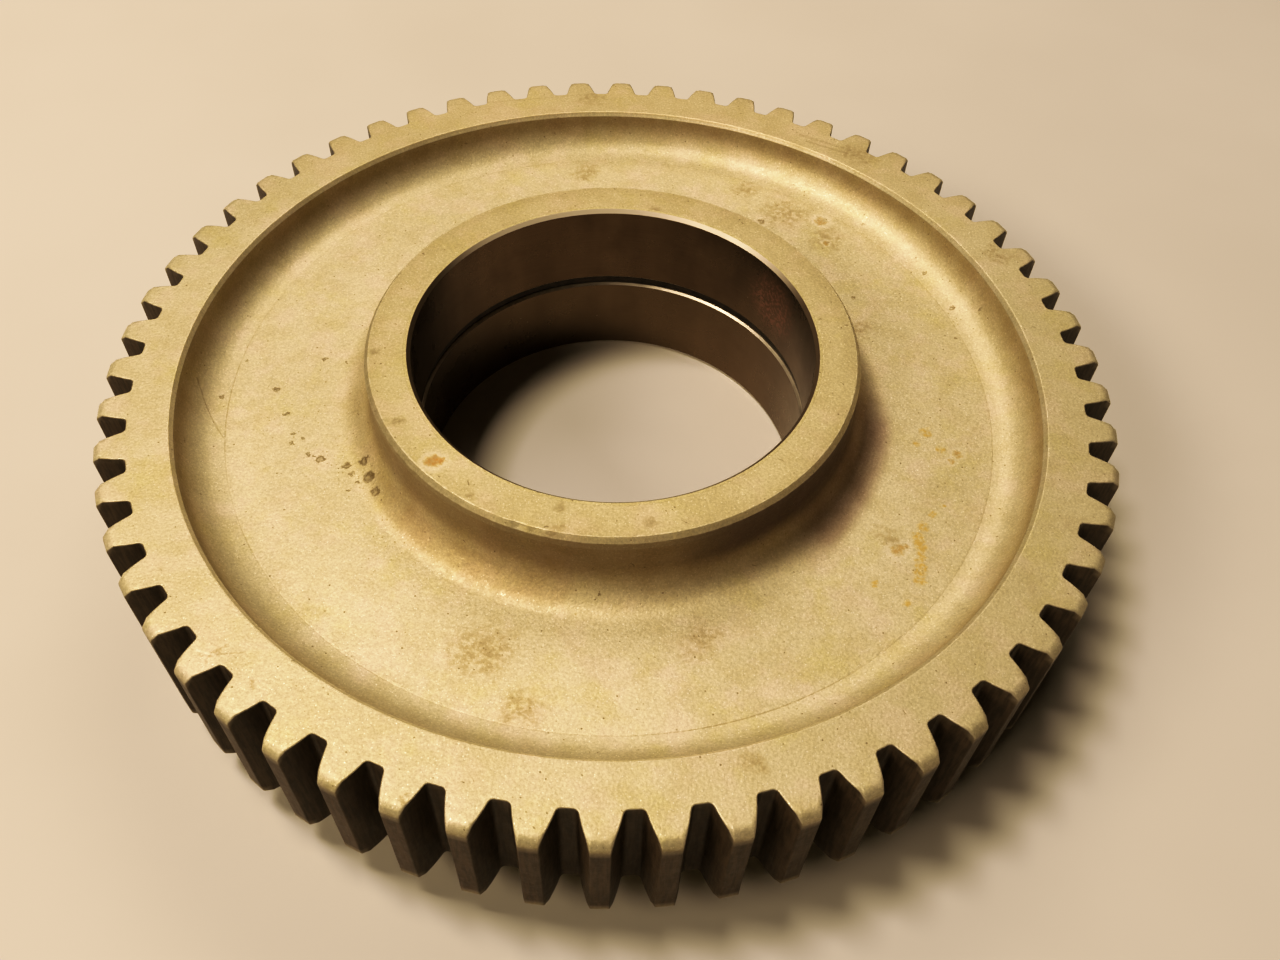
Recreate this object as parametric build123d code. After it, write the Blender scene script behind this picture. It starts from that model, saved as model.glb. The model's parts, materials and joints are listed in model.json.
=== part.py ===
from build123d import *
import os
from math import pi, sin, cos, tan, acos, radians

os.makedirs("parts", exist_ok=True)

# Spur gear with a thinned web, a hub proud of both faces and a sleeved bore.
# Millimetres. The axis of rotation is Z and the origin is on the axis at mid-width;
# the gear is the same on both faces. A tooth is centred on +X.

# ---- teeth ----
teeth = 58
diametral_pitch = 5
module = 25.4 / diametral_pitch
pressure_angle = radians(20)
addendum = 0.8 * module       # stub tooth
dedendum = 1.0 * module
tooth_end_round = 3.0         # tooth tips where they meet the rim faces
tip_round = 0.4               # sets the edge break between a tip land and the flanks
root_fillet = 1.3
flank_steps = 6               # spline spans along one flank
break_overrun = 2.5           # edge break carried past the tip circle, in its own lengths
cutter_over_r = 4.0           # cutter beyond the tip circle
cutter_over_z = 2.0           # cutter beyond each rim face

# ---- rim and web ----
face_width = 42.86            # rim and teeth, axial
rim_inner_r = 129.4           # recess wall just under its chamfer
rim_chamfer_r = 1.0
rim_chamfer_z = 1.4
web_depth = 12.7              # rim face down to the web
web_fillet = web_depth - rim_chamfer_z   # the recess wall is one full fillet

# ---- hub ----
hub_length = 60.96
hub_r = 73.8
hub_chamfer_r = 1.2
hub_chamfer_z = 1.5
hub_fillet = 11.3             # hub wall to web

# ---- sleeves ----
sleeve_bore_r = 120.65 / 2    # finished bore
sleeve_wall = 2.0
hub_bore_r = sleeve_bore_r + sleeve_wall   # seat of the sleeves
mouth_chamfer_r = 1.1
mouth_chamfer_z = 1.2
inner_chamfer = 0.7           # lip of a sleeve at the central groove

# ---- locating ring ----
ring_thickness = 2.8          # also the gap between the sleeves
ring_outer_r = 64.3
ring_inner_r = 61.4           # recessed below the finished bore
ring_gap = 9.0                # width of the split
split_depth = 8.0             # radial size of the split cutter
groove_clearance = 0.05       # per side, axial, between ring and hub groove

# ---- derived ----
pitch_r = module * teeth / 2
tip_r = pitch_r + addendum
root_r = pitch_r - dedendum
base_r = pitch_r * cos(pressure_angle)
half_pitch_angle = pi / teeth
half_face = face_width / 2
half_hub = hub_length / 2
half_ring = ring_thickness / 2
web_z = half_face - web_depth


# ---- flank of the tooth space centred on angle 0 ----
def polar(radius, angle):
    return Vector(radius * cos(angle), radius * sin(angle))


def involute(angle):
    return tan(angle) - angle


def space_half_angle(radius):
    """Half angle of the space between two teeth."""
    flank_spread = involute(acos(base_r / radius)) - involute(pressure_angle)
    return half_pitch_angle / 2 + flank_spread


def flank_point(radius):
    return polar(radius, space_half_angle(radius))


def nearest_on_flank(point, low, high):
    """Radius at which the flank is closest to a point, and that distance."""
    for _ in range(80):
        third = (high - low) / 3
        inner, outer = low + third, high - third
        if (flank_point(inner) - point).length < (flank_point(outer) - point).length:
            high = outer
        else:
            low = inner
    radius = (low + high) / 2
    return radius, (flank_point(radius) - point).length


def tangent_circle(centre_r, radius, clear_angle, low, high):
    """Centre angle of a circle touching the flank, and the radius where it touches.

    The search runs from clear_angle, where the circle is clear of the flank, to the flank.
    """
    clear, blocked = clear_angle, space_half_angle(centre_r)
    for _ in range(80):
        angle = (clear + blocked) / 2
        _, distance = nearest_on_flank(polar(centre_r, angle), low, high)
        if distance > radius:
            clear = angle
        else:
            blocked = angle
    angle = (clear + blocked) / 2
    return angle, nearest_on_flank(polar(centre_r, angle), low, high)[0]


# ---- tooth space cutter ----
def mirrored(point):
    """The point on the other side of the X axis."""
    return Vector(point.X, -point.Y)


def space_profile():
    """Outline of one space between teeth, carried on past the tip circle."""
    fillet_r = root_r + root_fillet
    root_angle, root_touch_r = tangent_circle(fillet_r, root_fillet, 0, root_r, pitch_r)
    tip_angle, tip_touch_r = tangent_circle(
        tip_r - tip_round, tip_round, half_pitch_angle, pitch_r, tip_r)

    span = (tip_touch_r - root_touch_r) / flank_steps
    flank = [flank_point(root_touch_r + span * i) for i in range(flank_steps + 1)]
    flank_start, flank_end = flank[0], flank[-1]

    root_end = polar(root_r, root_angle)
    centre = polar(fillet_r, root_angle)
    to_middle = ((root_end + flank_start) / 2 - centre).normalized()
    fillet_middle = centre + to_middle * root_fillet

    # the edge break is a straight line from the flank, crossing the tip circle at the land
    land_edge = polar(tip_r, tip_angle)
    break_end = land_edge + (land_edge - flank_end) * break_overrun
    mouth = Vector(tip_r + cutter_over_r, break_end.Y)

    return Wire([
        Line(mirrored(mouth), mirrored(break_end)),
        Line(mirrored(break_end), mirrored(flank_end)),
        Spline(*[mirrored(point) for point in reversed(flank)]),
        ThreePointArc(mirrored(flank_start), mirrored(fillet_middle), mirrored(root_end)),
        ThreePointArc(mirrored(root_end), Vector(root_r, 0), root_end),
        ThreePointArc(root_end, fillet_middle, flank_start),
        Spline(*flank),
        Line(flank_end, break_end),
        Line(break_end, mouth),
        Line(mouth, mirrored(mouth)),
    ])


# ---- turned sections, drawn in the XZ plane ----
def straight_run(*points):
    return [Line(start, end) for start, end in zip(points, points[1:])]


def rounded_corner(start, corner, end):
    """Quarter circle in place of the square corner between start and end."""
    centre = start + end - corner
    return [ThreePointArc(start, centre + (corner - centre) * cos(pi / 4), end)]


def turn(edges):
    return revolve(Face(Wire(edges)), Axis.Z, 360)


groove_half = half_ring + groove_clearance


def wheel_side(side):
    """Bore over the hub, web and rim to the tip, above (1) or below (-1) mid-width."""
    def at(r, z):
        return Vector(r, 0, side * z)

    hub_wall_foot = at(hub_r, web_z + hub_fillet)
    web_inner = at(hub_r + hub_fillet, web_z)
    web_outer = at(rim_inner_r - web_fillet, web_z)
    recess_top = at(rim_inner_r, web_z + web_fillet)
    face_outer = at(tip_r - tooth_end_round, half_face)
    tip_end = at(tip_r, half_face - tooth_end_round)
    return [
        *straight_run(
            at(hub_bore_r, groove_half),
            at(hub_bore_r, half_hub),
            at(hub_r - hub_chamfer_r, half_hub),
            at(hub_r, half_hub - hub_chamfer_z),
            hub_wall_foot,
        ),
        *rounded_corner(hub_wall_foot, at(hub_r, web_z), web_inner),
        *straight_run(web_inner, web_outer),
        *rounded_corner(web_outer, at(rim_inner_r, web_z), recess_top),
        *straight_run(recess_top, at(rim_inner_r + rim_chamfer_r, half_face), face_outer),
        *rounded_corner(face_outer, at(tip_r, half_face), tip_end),
    ]


def make_gear_wheel():
    tip_z = half_face - tooth_end_round
    tip_land = straight_run(Vector(tip_r, 0, tip_z), Vector(tip_r, 0, -tip_z))
    ring_groove = straight_run(
        Vector(hub_bore_r, 0, groove_half),
        Vector(ring_outer_r, 0, groove_half),
        Vector(ring_outer_r, 0, -groove_half),
        Vector(hub_bore_r, 0, -groove_half),
    )
    blank = turn(wheel_side(1) + wheel_side(-1) + tip_land + ring_groove)

    space = extrude(Face(space_profile()), half_face + cutter_over_z, both=True)
    # a tooth is centred on +X, so the spaces sit half a pitch away
    return blank - [Rot(0, 0, (k + 0.5) * 360 / teeth) * space for k in range(teeth)]


def make_sleeve(side):
    """Thin bore sleeve pressed in from the upper (1) or lower (-1) face."""
    outline = [
        (sleeve_bore_r + inner_chamfer, half_ring),
        (hub_bore_r, half_ring),
        (hub_bore_r, half_hub),
        (sleeve_bore_r + mouth_chamfer_r, half_hub),
        (sleeve_bore_r, half_hub - mouth_chamfer_z),
        (sleeve_bore_r, half_ring + inner_chamfer),
    ]
    corners = [Vector(r, 0, side * z) for r, z in outline]
    return turn(straight_run(*corners, corners[0]))


def make_locating_ring():
    """Ring in the hub groove, between the sleeves, split on the -Y side."""
    cut_height = ring_thickness * 2
    ring = Cylinder(ring_outer_r, ring_thickness) - Cylinder(ring_inner_r, cut_height)
    middle_r = (ring_outer_r + ring_inner_r) / 2
    return ring - Pos(0, -middle_r, 0) * Box(ring_gap, split_depth, cut_height)


pieces = {
    "gear_wheel": make_gear_wheel(),
    "upper_bore_sleeve": make_sleeve(1),
    "lower_bore_sleeve": make_sleeve(-1),
    "locating_ring": make_locating_ring(),
}

for name, piece in pieces.items():
    solid = piece.solids()[0]
    solid.label = name
    export_step(solid, "parts/" + name + ".step")
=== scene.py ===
# A spur gear wheel of 58 teeth, lying flat on a pale floor with its axis on Z and its middle at the
# origin. Two sleeves line the bore, one above and one below a split locating ring in a groove.
# Sizes are in millimetres and are scaled to metres when a mesh is made.
import json
import math
from functools import reduce
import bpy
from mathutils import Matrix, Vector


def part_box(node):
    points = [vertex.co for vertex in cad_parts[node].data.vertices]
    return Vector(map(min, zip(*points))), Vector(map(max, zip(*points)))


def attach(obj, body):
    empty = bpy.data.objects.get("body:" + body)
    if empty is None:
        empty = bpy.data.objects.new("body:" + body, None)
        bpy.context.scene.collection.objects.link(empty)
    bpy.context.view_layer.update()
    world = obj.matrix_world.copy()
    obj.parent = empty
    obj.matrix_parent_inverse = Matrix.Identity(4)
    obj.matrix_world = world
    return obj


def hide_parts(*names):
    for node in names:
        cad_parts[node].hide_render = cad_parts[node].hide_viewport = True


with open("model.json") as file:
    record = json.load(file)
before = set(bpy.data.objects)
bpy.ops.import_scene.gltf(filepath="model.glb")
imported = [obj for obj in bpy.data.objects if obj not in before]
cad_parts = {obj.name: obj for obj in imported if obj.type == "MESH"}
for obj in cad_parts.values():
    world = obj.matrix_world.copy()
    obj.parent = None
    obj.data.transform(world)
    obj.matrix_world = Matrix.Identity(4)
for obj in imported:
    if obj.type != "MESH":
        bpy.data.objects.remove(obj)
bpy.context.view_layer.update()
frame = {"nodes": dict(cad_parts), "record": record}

from types import SimpleNamespace

import bmesh
import bpy
import numpy as np
from mathutils import Matrix, Vector

MM = 0.001

# ------------------------------------------------------------------ sizes (mm)
bore_r = next(m for m in frame["record"]["mounts"] if m["name"] == "bore")["dims"]["r_mm"]
half_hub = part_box("gear_wheel")[1][2] / MM      # half the hub's height
half_face = 21.43                               # half the height of the toothed rim
web_z = half_face - 12.7                        # half the thickness of the web

teeth = 58
module = 5.08
pressure = math.radians(20)
pitch_r = teeth * module / 2
tip_r = pitch_r + 0.8 * module
root_r = pitch_r - 1.0 * module
base_r = pitch_r * math.cos(pressure)
half_pitch = math.pi / teeth                    # angle from mid-space to mid-tooth
root_fillet = 1.3
tip_fillet = 0.45
tip_round = 3.0                                 # rounds the end faces down to the tooth tips
tooth_edge = 0.35                               # rounding between tooth wall and end face

hub_r = 73.8
rim_inner_r = 129.4
web_fillet = 11.3                               # where the web meets hub and rim
tool_line_r = 117.85                            # shallow turned line on the web

seat_r = 62.325                                 # sleeves meet the wheel here
groove_half = 1.45
ring_half = 1.4
ring_outer_r, ring_inner_r = 64.3, 61.4


# ------------------------------------------------------------------ plane curves
def arc(centre, radius, start, turn, segs):
    """Points from angle start through turn (radians)."""
    angles = [start + turn * k / segs for k in range(segs + 1)]
    return [centre + radius * np.array([math.cos(a), math.sin(a)]) for a in angles]


def arc_between(centre, start, end, segs):
    """The shorter arc about centre from one point to another."""
    first = math.atan2(*(start - centre)[::-1])
    last = math.atan2(*(end - centre)[::-1])
    turn = (last - first + math.pi) % (2 * math.pi) - math.pi
    return arc(centre, np.linalg.norm(start - centre), first, turn, segs)


def fillet_poly(stations, segs=2):
    """Open polyline [(x, y, corner radius)] with its corners rounded."""
    out = [np.array(stations[0][:2], float)]
    for before, (x, y, radius), after in zip(stations, stations[1:], stations[2:]):
        corner = np.array([x, y], float)
        back = np.array(before[:2], float) - corner
        ahead = np.array(after[:2], float) - corner
        back_len, ahead_len = np.linalg.norm(back), np.linalg.norm(ahead)
        back /= back_len
        ahead /= ahead_len
        angle = math.acos(np.clip(np.dot(back, ahead), -1, 1))
        if radius <= 0 or angle > math.radians(179):
            out.append(corner)
            continue
        half_tan = math.tan(angle / 2)
        cut = min(radius / half_tan, 0.45 * back_len, 0.45 * ahead_len)
        bisector = (back + ahead) / np.linalg.norm(back + ahead)
        centre = corner + bisector * (cut * half_tan) / math.sin(angle / 2)
        out += arc_between(centre, corner + back * cut, corner + ahead * cut, segs)
    out.append(np.array(stations[-1][:2], float))
    return out


def closed_profile(corners, segs):
    """Closed polyline [(r, z, corner radius)], rounded at every corner."""
    return np.array(fillet_poly([corners[-1]] + corners + [corners[0]], segs)[1:-1])


# ------------------------------------------------------------------ mesh helpers
def link_object(name, data):
    obj = bpy.data.objects.new(name, data)
    bpy.context.scene.collection.objects.link(obj)
    return obj


def new_mesh(name, verts, faces):
    mesh = bpy.data.meshes.new(name)
    mesh.from_pydata((verts * MM).tolist(), [], faces)
    mesh.validate()
    return mesh


def add_part(mesh):
    mesh.shade_smooth()
    obj = link_object(mesh.name, mesh)
    normals = obj.modifiers.new("corner_normals", "WEIGHTED_NORMAL")
    normals.mode = "FACE_AREA"
    return obj


def spread(count, start=0.0):
    """Angles evenly spaced round a full turn."""
    return start + np.arange(count) * 2 * math.pi / count


class Lattice:
    """Rings of vertices joined by quads, or by triangles where the count halves or doubles.

    The edge mask marks rubbed edges, which are also painted bright as highlight; the gap mask marks
    tooth walls on the wheel, painted dark for oil and for shade, and end faces on a sleeve.
    """

    def __init__(self):
        self.verts = []
        self.rings = []         # (first vertex, count)
        self.masks = {"wear_glint": [], "gap": []}

    def ring(self, xy, z, wear_glint=0.0, gap=0.0):
        count = len(xy)
        self.rings.append((sum(len(r) for r in self.verts), count))
        self.verts.append(np.concatenate([xy, np.broadcast_to(z, count)[:, None]], 1))
        self.masks["wear_glint"].append(np.broadcast_to(wear_glint, count).astype(float))
        self.masks["gap"].append(np.broadcast_to(gap, count).astype(float))

    def circle(self, radius, z, angles, wear_glint=0.0, gap=0.0):
        xy = np.stack([radius * np.cos(angles), radius * np.sin(angles)], -1)
        self.ring(xy, z, wear_glint, gap)

    def faces(self):
        """Joins each ring to the next, and the last to the first."""
        out = []
        for first, second in zip(self.rings, self.rings[1:] + self.rings[:1]):
            narrowing = first[1] > second[1]
            (dense, many), (sparse, few) = (first, second) if narrowing else (second, first)
            for k in range(few):
                in0, in1 = sparse + k, sparse + (k + 1) % few
                if many == few:
                    low, low_next = first[0] + k, first[0] + (k + 1) % few
                    high, high_next = second[0] + k, second[0] + (k + 1) % few
                    out.append((low, low_next, high_next, high))
                    continue
                out0, out1 = dense + 2 * k, dense + 2 * k + 1
                out2 = dense + (2 * k + 2) % many
                if narrowing:
                    out += [(out0, out1, in0), (out1, in1, in0), (out1, out2, in1)]
                else:
                    out += [(in0, in1, out1), (in0, out1, out0), (in1, out2, out1)]
        return out

    def build(self, name, dents=()):
        verts = np.concatenate(self.verts)
        for centre, radius, depth, direction in dents:
            reach = np.linalg.norm(verts - centre, axis=1) / radius
            weight = np.where(reach < 1, (1 - np.minimum(reach, 1) ** 2) ** 2, 0)
            verts += (weight * depth)[:, None] * direction
        mesh = new_mesh(name, verts, self.faces())
        for key, parts in self.masks.items():
            layer = mesh.attributes.new(key, "FLOAT", "POINT")
            layer.data.foreach_set("value", np.concatenate(parts).astype(np.float32))
        return add_part(mesh)


# ------------------------------------------------------------------ tooth outline
def involute(angle):
    return math.tan(angle) - angle


def gap_half(radius):
    """Half the angle of a tooth space at a radius."""
    return math.pi / (2 * teeth) - involute(pressure) + involute(math.acos(base_r / radius))


def at_angle(radius, angle):
    return np.array([radius * math.cos(angle), radius * math.sin(angle)])


def flank_point(radius):
    return at_angle(radius, gap_half(radius))


def touch(centre_r, radius, clear, low_r, high_r):
    """Arc centre, flank radius and angle where a round at centre_r touches the flank.

    The angle is bisected between one that is clear of the flank and the flank itself.
    """
    near = gap_half(max(centre_r, base_r + 0.01))
    flank_rs = np.linspace(low_r, high_r, 1500)
    flank = np.array([flank_point(r) for r in flank_rs])
    for _ in range(50):
        angle = (clear + near) / 2
        centre = at_angle(centre_r, angle)
        distance = np.linalg.norm(flank - centre, axis=1)
        nearest = distance.argmin()
        if distance[nearest] > radius:
            clear = angle
        else:
            near = angle
    return centre, flank_rs[nearest], angle


def gear_outline():
    root_c, root_touch_r, root_a = touch(root_r + root_fillet, root_fillet, 0.0, root_r, pitch_r)
    tip_c, tip_touch_r, tip_a = touch(tip_r - tip_fillet, tip_fillet, half_pitch, pitch_r, tip_r)
    # 16 points from mid-space (angle 0) to mid-tooth
    half = [at_angle(root_r, root_a * k / 2) for k in range(2)]
    half += arc_between(root_c, at_angle(root_r, root_a), flank_point(root_touch_r), 4)
    for k in range(1, 4):
        half.append(flank_point(root_touch_r + (tip_touch_r - root_touch_r) * k / 4))
    half += arc_between(tip_c, flank_point(tip_touch_r), at_angle(tip_r, tip_a), 3)
    half += [at_angle(tip_r, tip_a + (half_pitch - tip_a) * k / 2) for k in range(1, 3)]
    half = np.array(half)
    space = np.concatenate([half[1:-1][::-1] * np.array([1, -1]), half])
    turns = [(k + 0.5) * 2 * math.pi / teeth for k in range(teeth)]
    return np.concatenate([space @ np.array([[math.cos(a), math.sin(a)],
                                             [-math.sin(a), math.cos(a)]]) for a in turns])


# ------------------------------------------------------------------ gear wheel
# rounding of the tooth edges: degrees, edge mask (wear and painted highlight), gap mask on walls,
# gap mask on the tip lands (gap: oil and painted shade)
EDGE_STEPS = [(0, 0.10, 1.0, 0.55), (25, 0.35, 0.80, 0.34), (55, 0.40, 0.30, 0.14),
              (90, 0.15, 0.0, 0.0)]
# share of the way from the tooth outline in to face_inner_r
FACE_STEPS = (0.021, 0.05, 0.092, 0.146, 0.221, 0.55, 1.0)
face_inner_r = 139.0
# the two circles, inside the face rings, where the vertex count halves
halving_r, quartering_r = 137.7, 136.2
# dents on the hub's upper edge: degrees, radius, drop below the hub's end, reach, depth
DENTS = [(-105.8, 73.2, 0.7, 3.2, 0.55), (-102.5, 73.4, 0.9, 2.0, 0.3),
         (-128.0, 73.4, 0.8, 2.2, 0.22), (62.0, 73.3, 0.8, 2.4, 0.3),
         (-20.0, 73.3, 0.8, 2.0, 0.2)]


def face_top(radius):
    """Height of the rim's end face, rounded down towards the tips."""
    past = np.clip(radius - (tip_r - tip_round), 0, tip_round)
    return half_face - (tip_round - np.sqrt(np.maximum(tip_round ** 2 - past * past, 0)))


def tooth_rings(outline):
    """Upper rings [(xy, z, wear, gap)]: round the tooth edge, then across the end face."""
    tangent = np.roll(outline, -1, 0) - np.roll(outline, 1, 0)
    tangent /= np.linalg.norm(tangent, axis=1)[:, None]
    normal = np.stack([tangent[:, 1], -tangent[:, 0]], -1)
    radius = np.linalg.norm(outline, axis=1)
    radial = outline / radius[:, None]
    slant = np.abs(normal[:, 0] * radial[:, 1] - normal[:, 1] * radial[:, 0])
    # the edge fades out on the tip lands, where the end face is already rounded
    share = np.where(radius < tip_r - 4, 1.0, np.clip(slant / 0.9, 0, 1))
    land = np.clip((radius - (tip_r - 0.6)) / 0.4, 0, 1)
    edges = []
    for degrees, wear_glint, wall_gap, land_gap in EDGE_STEPS:
        inset = tooth_edge * (1 - math.cos(math.radians(degrees)))
        drop = tooth_edge * (1 - math.sin(math.radians(degrees)))
        xy = outline - normal * inset
        z = face_top(np.linalg.norm(xy, axis=1)) - share * drop
        edges.append((xy, z, wear_glint, wall_gap * (1 - land) + land_gap * land))
    inner_r = np.linalg.norm(xy, axis=1)
    angles = np.unwrap(np.arctan2(xy[:, 1], xy[:, 0]))
    faces = []
    for step in FACE_STEPS:
        ring_r = inner_r - (inner_r - face_inner_r) * step
        xy = np.stack([ring_r * np.cos(angles), ring_r * np.sin(angles)], -1)
        faces.append((xy, face_top(ring_r), 0.0, 0.0))
    return edges, faces, angles[0]


def turned_profile():
    """Upper half of the turned section (r, z), from the rim face to the ring groove."""
    fillet_z = web_z + web_fillet
    rim_c = np.array([rim_inner_r - web_fillet, fillet_z])
    hub_c = np.array([hub_r + web_fillet, fillet_z])
    quarter = math.radians(90)
    points = fillet_poly([
        (136.2, half_face, 0), (133.5, half_face, 0), (130.9, half_face, 0),
        (130.4, half_face, 0.5), (rim_inner_r, half_face - 1.4, 0.5),
        (rim_inner_r, half_face - 2.0, 0)])[1:-1]
    points += arc(rim_c, web_fillet, 0.0, -quarter, 11)
    points += [(118.0, web_z - 0.012), (tool_line_r, web_z - 0.05), (117.7, web_z - 0.012),
               (117.3, web_z), (112.0, web_z), (104.0, web_z), (96.0, web_z), (89.0, web_z)]
    points += arc(hub_c, web_fillet, -quarter, -quarter, 10)
    points += fillet_poly([
        (hub_r, web_z + 11.9, 0), (hub_r, half_hub - 2.1, 0), (hub_r, half_hub - 1.5, 0.22),
        (73.2, half_hub - 0.75, 0), (72.6, half_hub, 0.22), (72.1, half_hub, 0),
        (68.0, half_hub, 0), (seat_r + 0.3, half_hub, 0), (seat_r, half_hub, 0.02),
        (seat_r, half_hub - 0.5, 0), (seat_r, half_hub - 6, 0)])
    points += [(seat_r, groove_half), (ring_outer_r, groove_half)]
    return np.array([tuple(p) for p in points])


# rubbed rim and hub edges, also painted bright as highlight
def turned_wear_glint(radius, z):
    if abs(radius - 130.0) < 0.7 and z > half_face - 1.7:
        return 0.12
    if 72.3 < radius < 73.9 and z > half_hub - 1.8:
        return 0.05 if abs(z - (half_hub - 0.75)) < 0.1 else 0.45
    return 0.0


def hub_dent(degrees, radius, drop, reach, depth):
    x, y = at_angle(1.0, math.radians(degrees))
    centre = np.array([radius * x, radius * y, half_hub - drop])
    return centre, reach, depth, np.array([-x * 0.7, -y * 0.7, -0.7])


def build_wheel():
    outline = gear_outline()
    edges, faces, start = tooth_rings(outline)
    lattice = Lattice()
    # lower face outwards, up the tooth walls, then the upper face inwards
    for xy, z, wear_glint, gap in (edges + faces)[::-1]:
        lattice.ring(xy, -z, wear_glint, gap)
    wall_z = edges[0][1] - 2.6
    lattice.ring(outline, -wall_z, gap=1.0)
    lattice.ring(outline, wall_z, gap=1.0)
    for xy, z, wear_glint, gap in edges + faces:
        lattice.ring(xy, z, wear_glint, gap)
    # turned part, in to the groove and back out on the lower side
    half_count = spread(len(outline) // 2, start)
    quarter_count = spread(len(outline) // 4, start)
    profile = turned_profile()
    lattice.circle(halving_r, half_face, half_count)
    lattice.circle(quartering_r, half_face, quarter_count)
    for radius, z in profile:
        lattice.circle(radius, z, quarter_count, turned_wear_glint(radius, z))
    for radius, z in profile[::-1]:
        lattice.circle(radius, -z, quarter_count, turned_wear_glint(radius, z))
    lattice.circle(quartering_r, -half_face, quarter_count)
    lattice.circle(halving_r, -half_face, half_count)
    return lattice.build("gear_wheel_body", [hub_dent(*row) for row in DENTS])


# ------------------------------------------------------------------ bore sleeves
def build_sleeve(name, sign):
    """sign is 1 for the sleeve above the ring and -1 for the one below."""
    section = closed_profile([
        (bore_r, ring_half + 0.7, 0.12), (bore_r + 0.7, ring_half, 0.12),
        (seat_r, ring_half, 0.1), (seat_r, half_hub - 0.5, 0), (seat_r, half_hub, 0.02),
        (seat_r - 0.3, half_hub, 0), (bore_r + 1.3, half_hub, 0),
        (bore_r + 1.1, half_hub, 0.12), (bore_r, half_hub - 1.2, 0.15)], 3)
    # the long bore wall gets rings between its ends
    last, first = section[-1], section[0]
    wall = [last + (first - last) * k / 8 for k in range(1, 8)]
    section = np.concatenate([section, np.array(wall)])
    lattice = Lattice()
    for radius, z in section if sign < 0 else section[::-1]:
        # the chamfers are rubbed, and painted bright as highlight
        wear_glint = 1.0 if bore_r + 0.02 < radius < seat_r - 0.5 else 0.0
        end = 1.0 if z > half_hub - 0.01 and radius > bore_r + 1.0 else 0.0
        lattice.circle(radius, sign * z, spread(464), wear_glint, end)
    return lattice.build(name)


# ------------------------------------------------------------------ locating ring
def build_ring():
    """Split ring, open towards -Y."""
    stations = 300
    end_shrink, end_shift = 0.86, 0.004         # section scale and extra angle at the ends
    middle_r = (ring_outer_r + ring_inner_r) / 2
    half_opening = 4.5 / middle_r
    outer_r = ring_outer_r - 0.02
    section = closed_profile([
        (ring_inner_r, -ring_half, 0.3), (outer_r, -ring_half, 0.25),
        (outer_r, ring_half, 0.25), (ring_inner_r, ring_half, 0.3)], 3)
    centre = np.array([middle_r, 0])
    end_section = centre + (section - centre) * end_shrink
    angles = np.linspace(-math.pi / 2 + half_opening, 1.5 * math.pi - half_opening, stations + 1)
    placed = [(a, section) for a in angles]
    placed += [(angles[0] - end_shift, end_section), (angles[-1] + end_shift, end_section)]
    verts = [(r * math.cos(a), r * math.sin(a), z) for a, points in placed for r, z in points]

    count = len(section)
    around = [(j, (j + 1) % count) for j in range(count)]
    last = stations * count
    start_cap, end_cap = last + count, last + 2 * count
    faces = [(i + j, i + k, i + count + k, i + count + j)
             for i in range(0, last, count) for j, k in around]
    for j, k in around:
        faces.append((start_cap + j, start_cap + k, k, j))
        faces.append((last + j, last + k, end_cap + k, end_cap + j))
    faces.append(tuple(start_cap + j for j in range(count))[::-1])
    faces.append(tuple(end_cap + j for j in range(count)))
    mesh = new_mesh("locating_ring_split", np.array(verts), faces)
    work = bmesh.new()
    work.from_mesh(mesh)
    bmesh.ops.recalc_face_normals(work, faces=work.faces)
    work.to_mesh(mesh)
    work.free()
    return add_part(mesh)


wheel = build_wheel()
upper = build_sleeve("upper_bore_sleeve_shell", 1)
lower = build_sleeve("lower_bore_sleeve_shell", -1)
ring = build_ring()


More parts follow.
